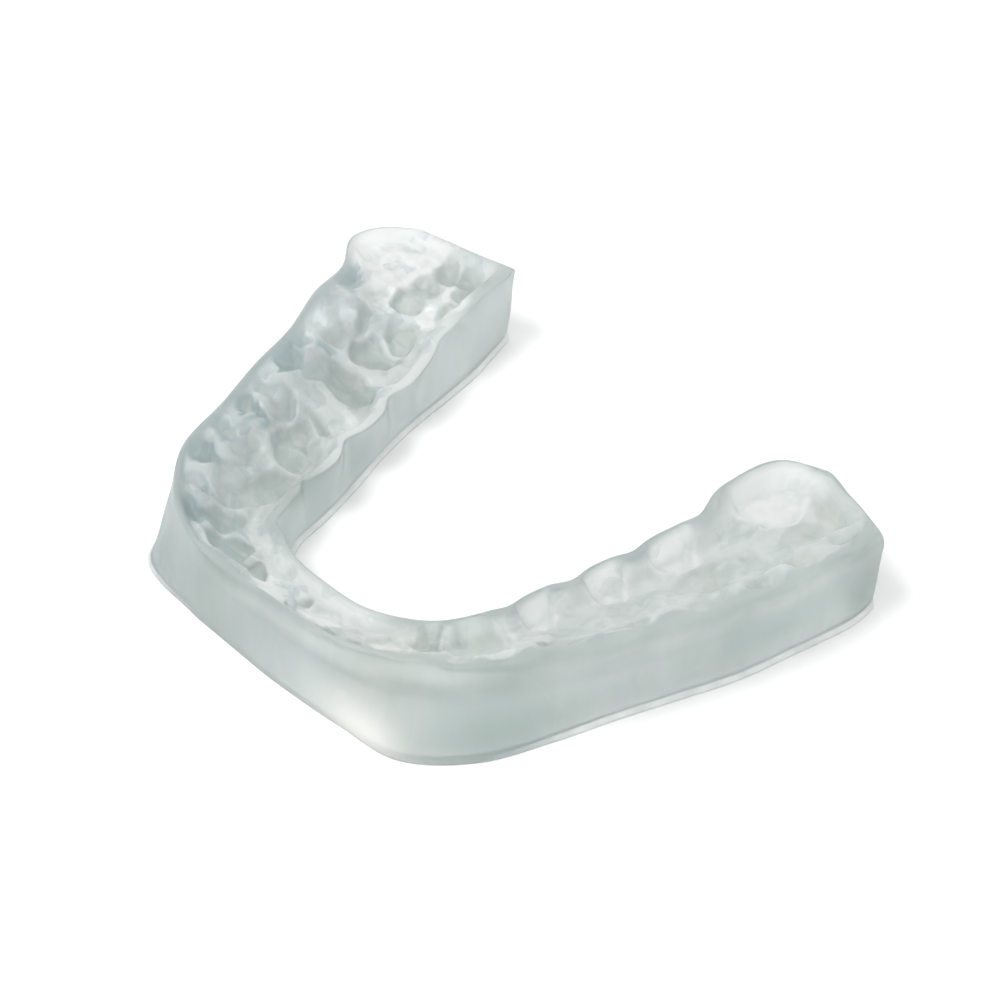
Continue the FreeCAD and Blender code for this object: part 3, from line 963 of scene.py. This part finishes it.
def lip_material():
    """The thin lip round the base, frosted and painted pale, partly a painted line of light along
    its foot, fading out towards the front.
    """
    n = Nodes("frosted_lip_painted_light")
    places = n.add("ShaderNodeTexCoord").outputs["Object"]
    breaks = n.ramp(n.noise(places, LIP_BREAK_SCALE, 3), 0.30, 0.60, 0.6, 1)
    broken = n.math("MULTIPLY", n.mark("lip"), breaks)
    # The lip is painted pale in broken stretches: partly its frost, partly a painted line of light
    # along the foot.
    painted_light = n.mix(n.noise(places, LIP_CLOUD_SCALE, 3), LIP_PAINTED_LIGHT_DULL, LIP_PAINTED_LIGHT)
    tone = n.mix(broken, LIP_CLEAR, painted_light)
    return finish_resin(n, places, tone, (0.36, 0.50), broken, (0.85, 0.25))


def build_splint():
    arch = Arch()
    mesh = splint_mesh(arch)
    splint = bpy.data.objects.new("resin_splint", mesh)
    bpy.context.scene.collection.objects.link(splint)
    for material in (wall_material(), imprint_material(), lip_material()):
        mesh.materials.append(material)
    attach(splint, "root")
    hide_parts(NODE)


# ---------------------------------------------------------------- stage, light and camera

AZIMUTH = 45.9            # degrees, from straight in front round to the right
ELEVATION = 45.3
DISTANCE = 0.2525
AIM = Vector((-0.0019, 0.0063, 0.0))
LENS = 93.56
SENSOR = 36.0
NEAREST = 0.01            # the camera's near clip
FLOOR_DROP = 0.00006      # gap between the splint's base and the floor
FLOOR_HALF = 2.0          # half of the floor's side
FLOOR_TONES = ((0.92, 0.92, 0.92, 1), (0.94, 0.94, 0.94, 1))
WORLD_STRENGTH = 0.95
KEY_AZIMUTH = AZIMUTH - 68  # the light comes from the camera's left, high up
KEY_ELEVATION = 66
KEY_DISTANCE = 0.6
KEY_SIZE = 0.22
KEY_POWER = 1.6


def direction(azimuth, elevation):
    """Unit vector from the object towards a place at this azimuth and elevation."""
    turn, tilt = math.radians(azimuth), math.radians(elevation)
    return Vector((math.sin(turn) * math.cos(tilt), -math.cos(turn) * math.cos(tilt),
                   math.sin(tilt)))


def look_from(thing, place, target):
    thing.location = place
    thing.rotation_euler = (target - place).to_track_quat("-Z", "Y").to_euler()


def build_camera():
    data = bpy.data.cameras.new("camera")
    data.lens = LENS
    data.sensor_width = SENSOR
    data.clip_start = NEAREST
    camera = bpy.data.objects.new("camera", data)
    bpy.context.scene.collection.objects.link(camera)
    look_from(camera, AIM + direction(AZIMUTH, ELEVATION) * DISTANCE, AIM)
    bpy.context.scene.camera = camera


def build_floor():
    n = Nodes("floor")
    places = n.add("ShaderNodeTexCoord").outputs["Object"]
    tone = n.mix(n.noise(places, 6, 2), *FLOOR_TONES)
    shader = n.add("ShaderNodeBsdfPrincipled", {"Base Color": tone, "Roughness": 0.6})
    n.add("ShaderNodeOutputMaterial", {"Surface": shader.outputs["BSDF"]})
    mesh = bpy.data.meshes.new("floor")
    corners = [(x * FLOOR_HALF, y * FLOOR_HALF, -FLOOR_DROP)
               for x, y in ((-1, -1), (1, -1), (1, 1), (-1, 1))]
    mesh.from_pydata(corners, [], [(0, 1, 2, 3)])
    mesh.materials.append(n.material)
    floor = bpy.data.objects.new("floor", mesh)
    bpy.context.scene.collection.objects.link(floor)


def build_key_light():
    data = bpy.data.lights.new("key", "AREA")
    data.shape = "DISK"
    data.size = KEY_SIZE
    data.energy = KEY_POWER
    light = bpy.data.objects.new("key", data)
    bpy.context.scene.collection.objects.link(light)
    look_from(light, direction(KEY_AZIMUTH, KEY_ELEVATION) * KEY_DISTANCE, Vector((0, 0, 0)))


def build_stage():
    build_floor()
    world = bpy.data.worlds.new("studio")
    world.use_nodes = True
    background = world.node_tree.nodes["Background"]
    background.inputs["Color"].default_value = (1, 1, 1, 1)
    background.inputs["Strength"].default_value = WORLD_STRENGTH
    bpy.context.scene.world = world
    build_key_light()
    bpy.context.scene.view_settings.view_transform = "Standard"


build_splint()
build_stage()
build_camera()
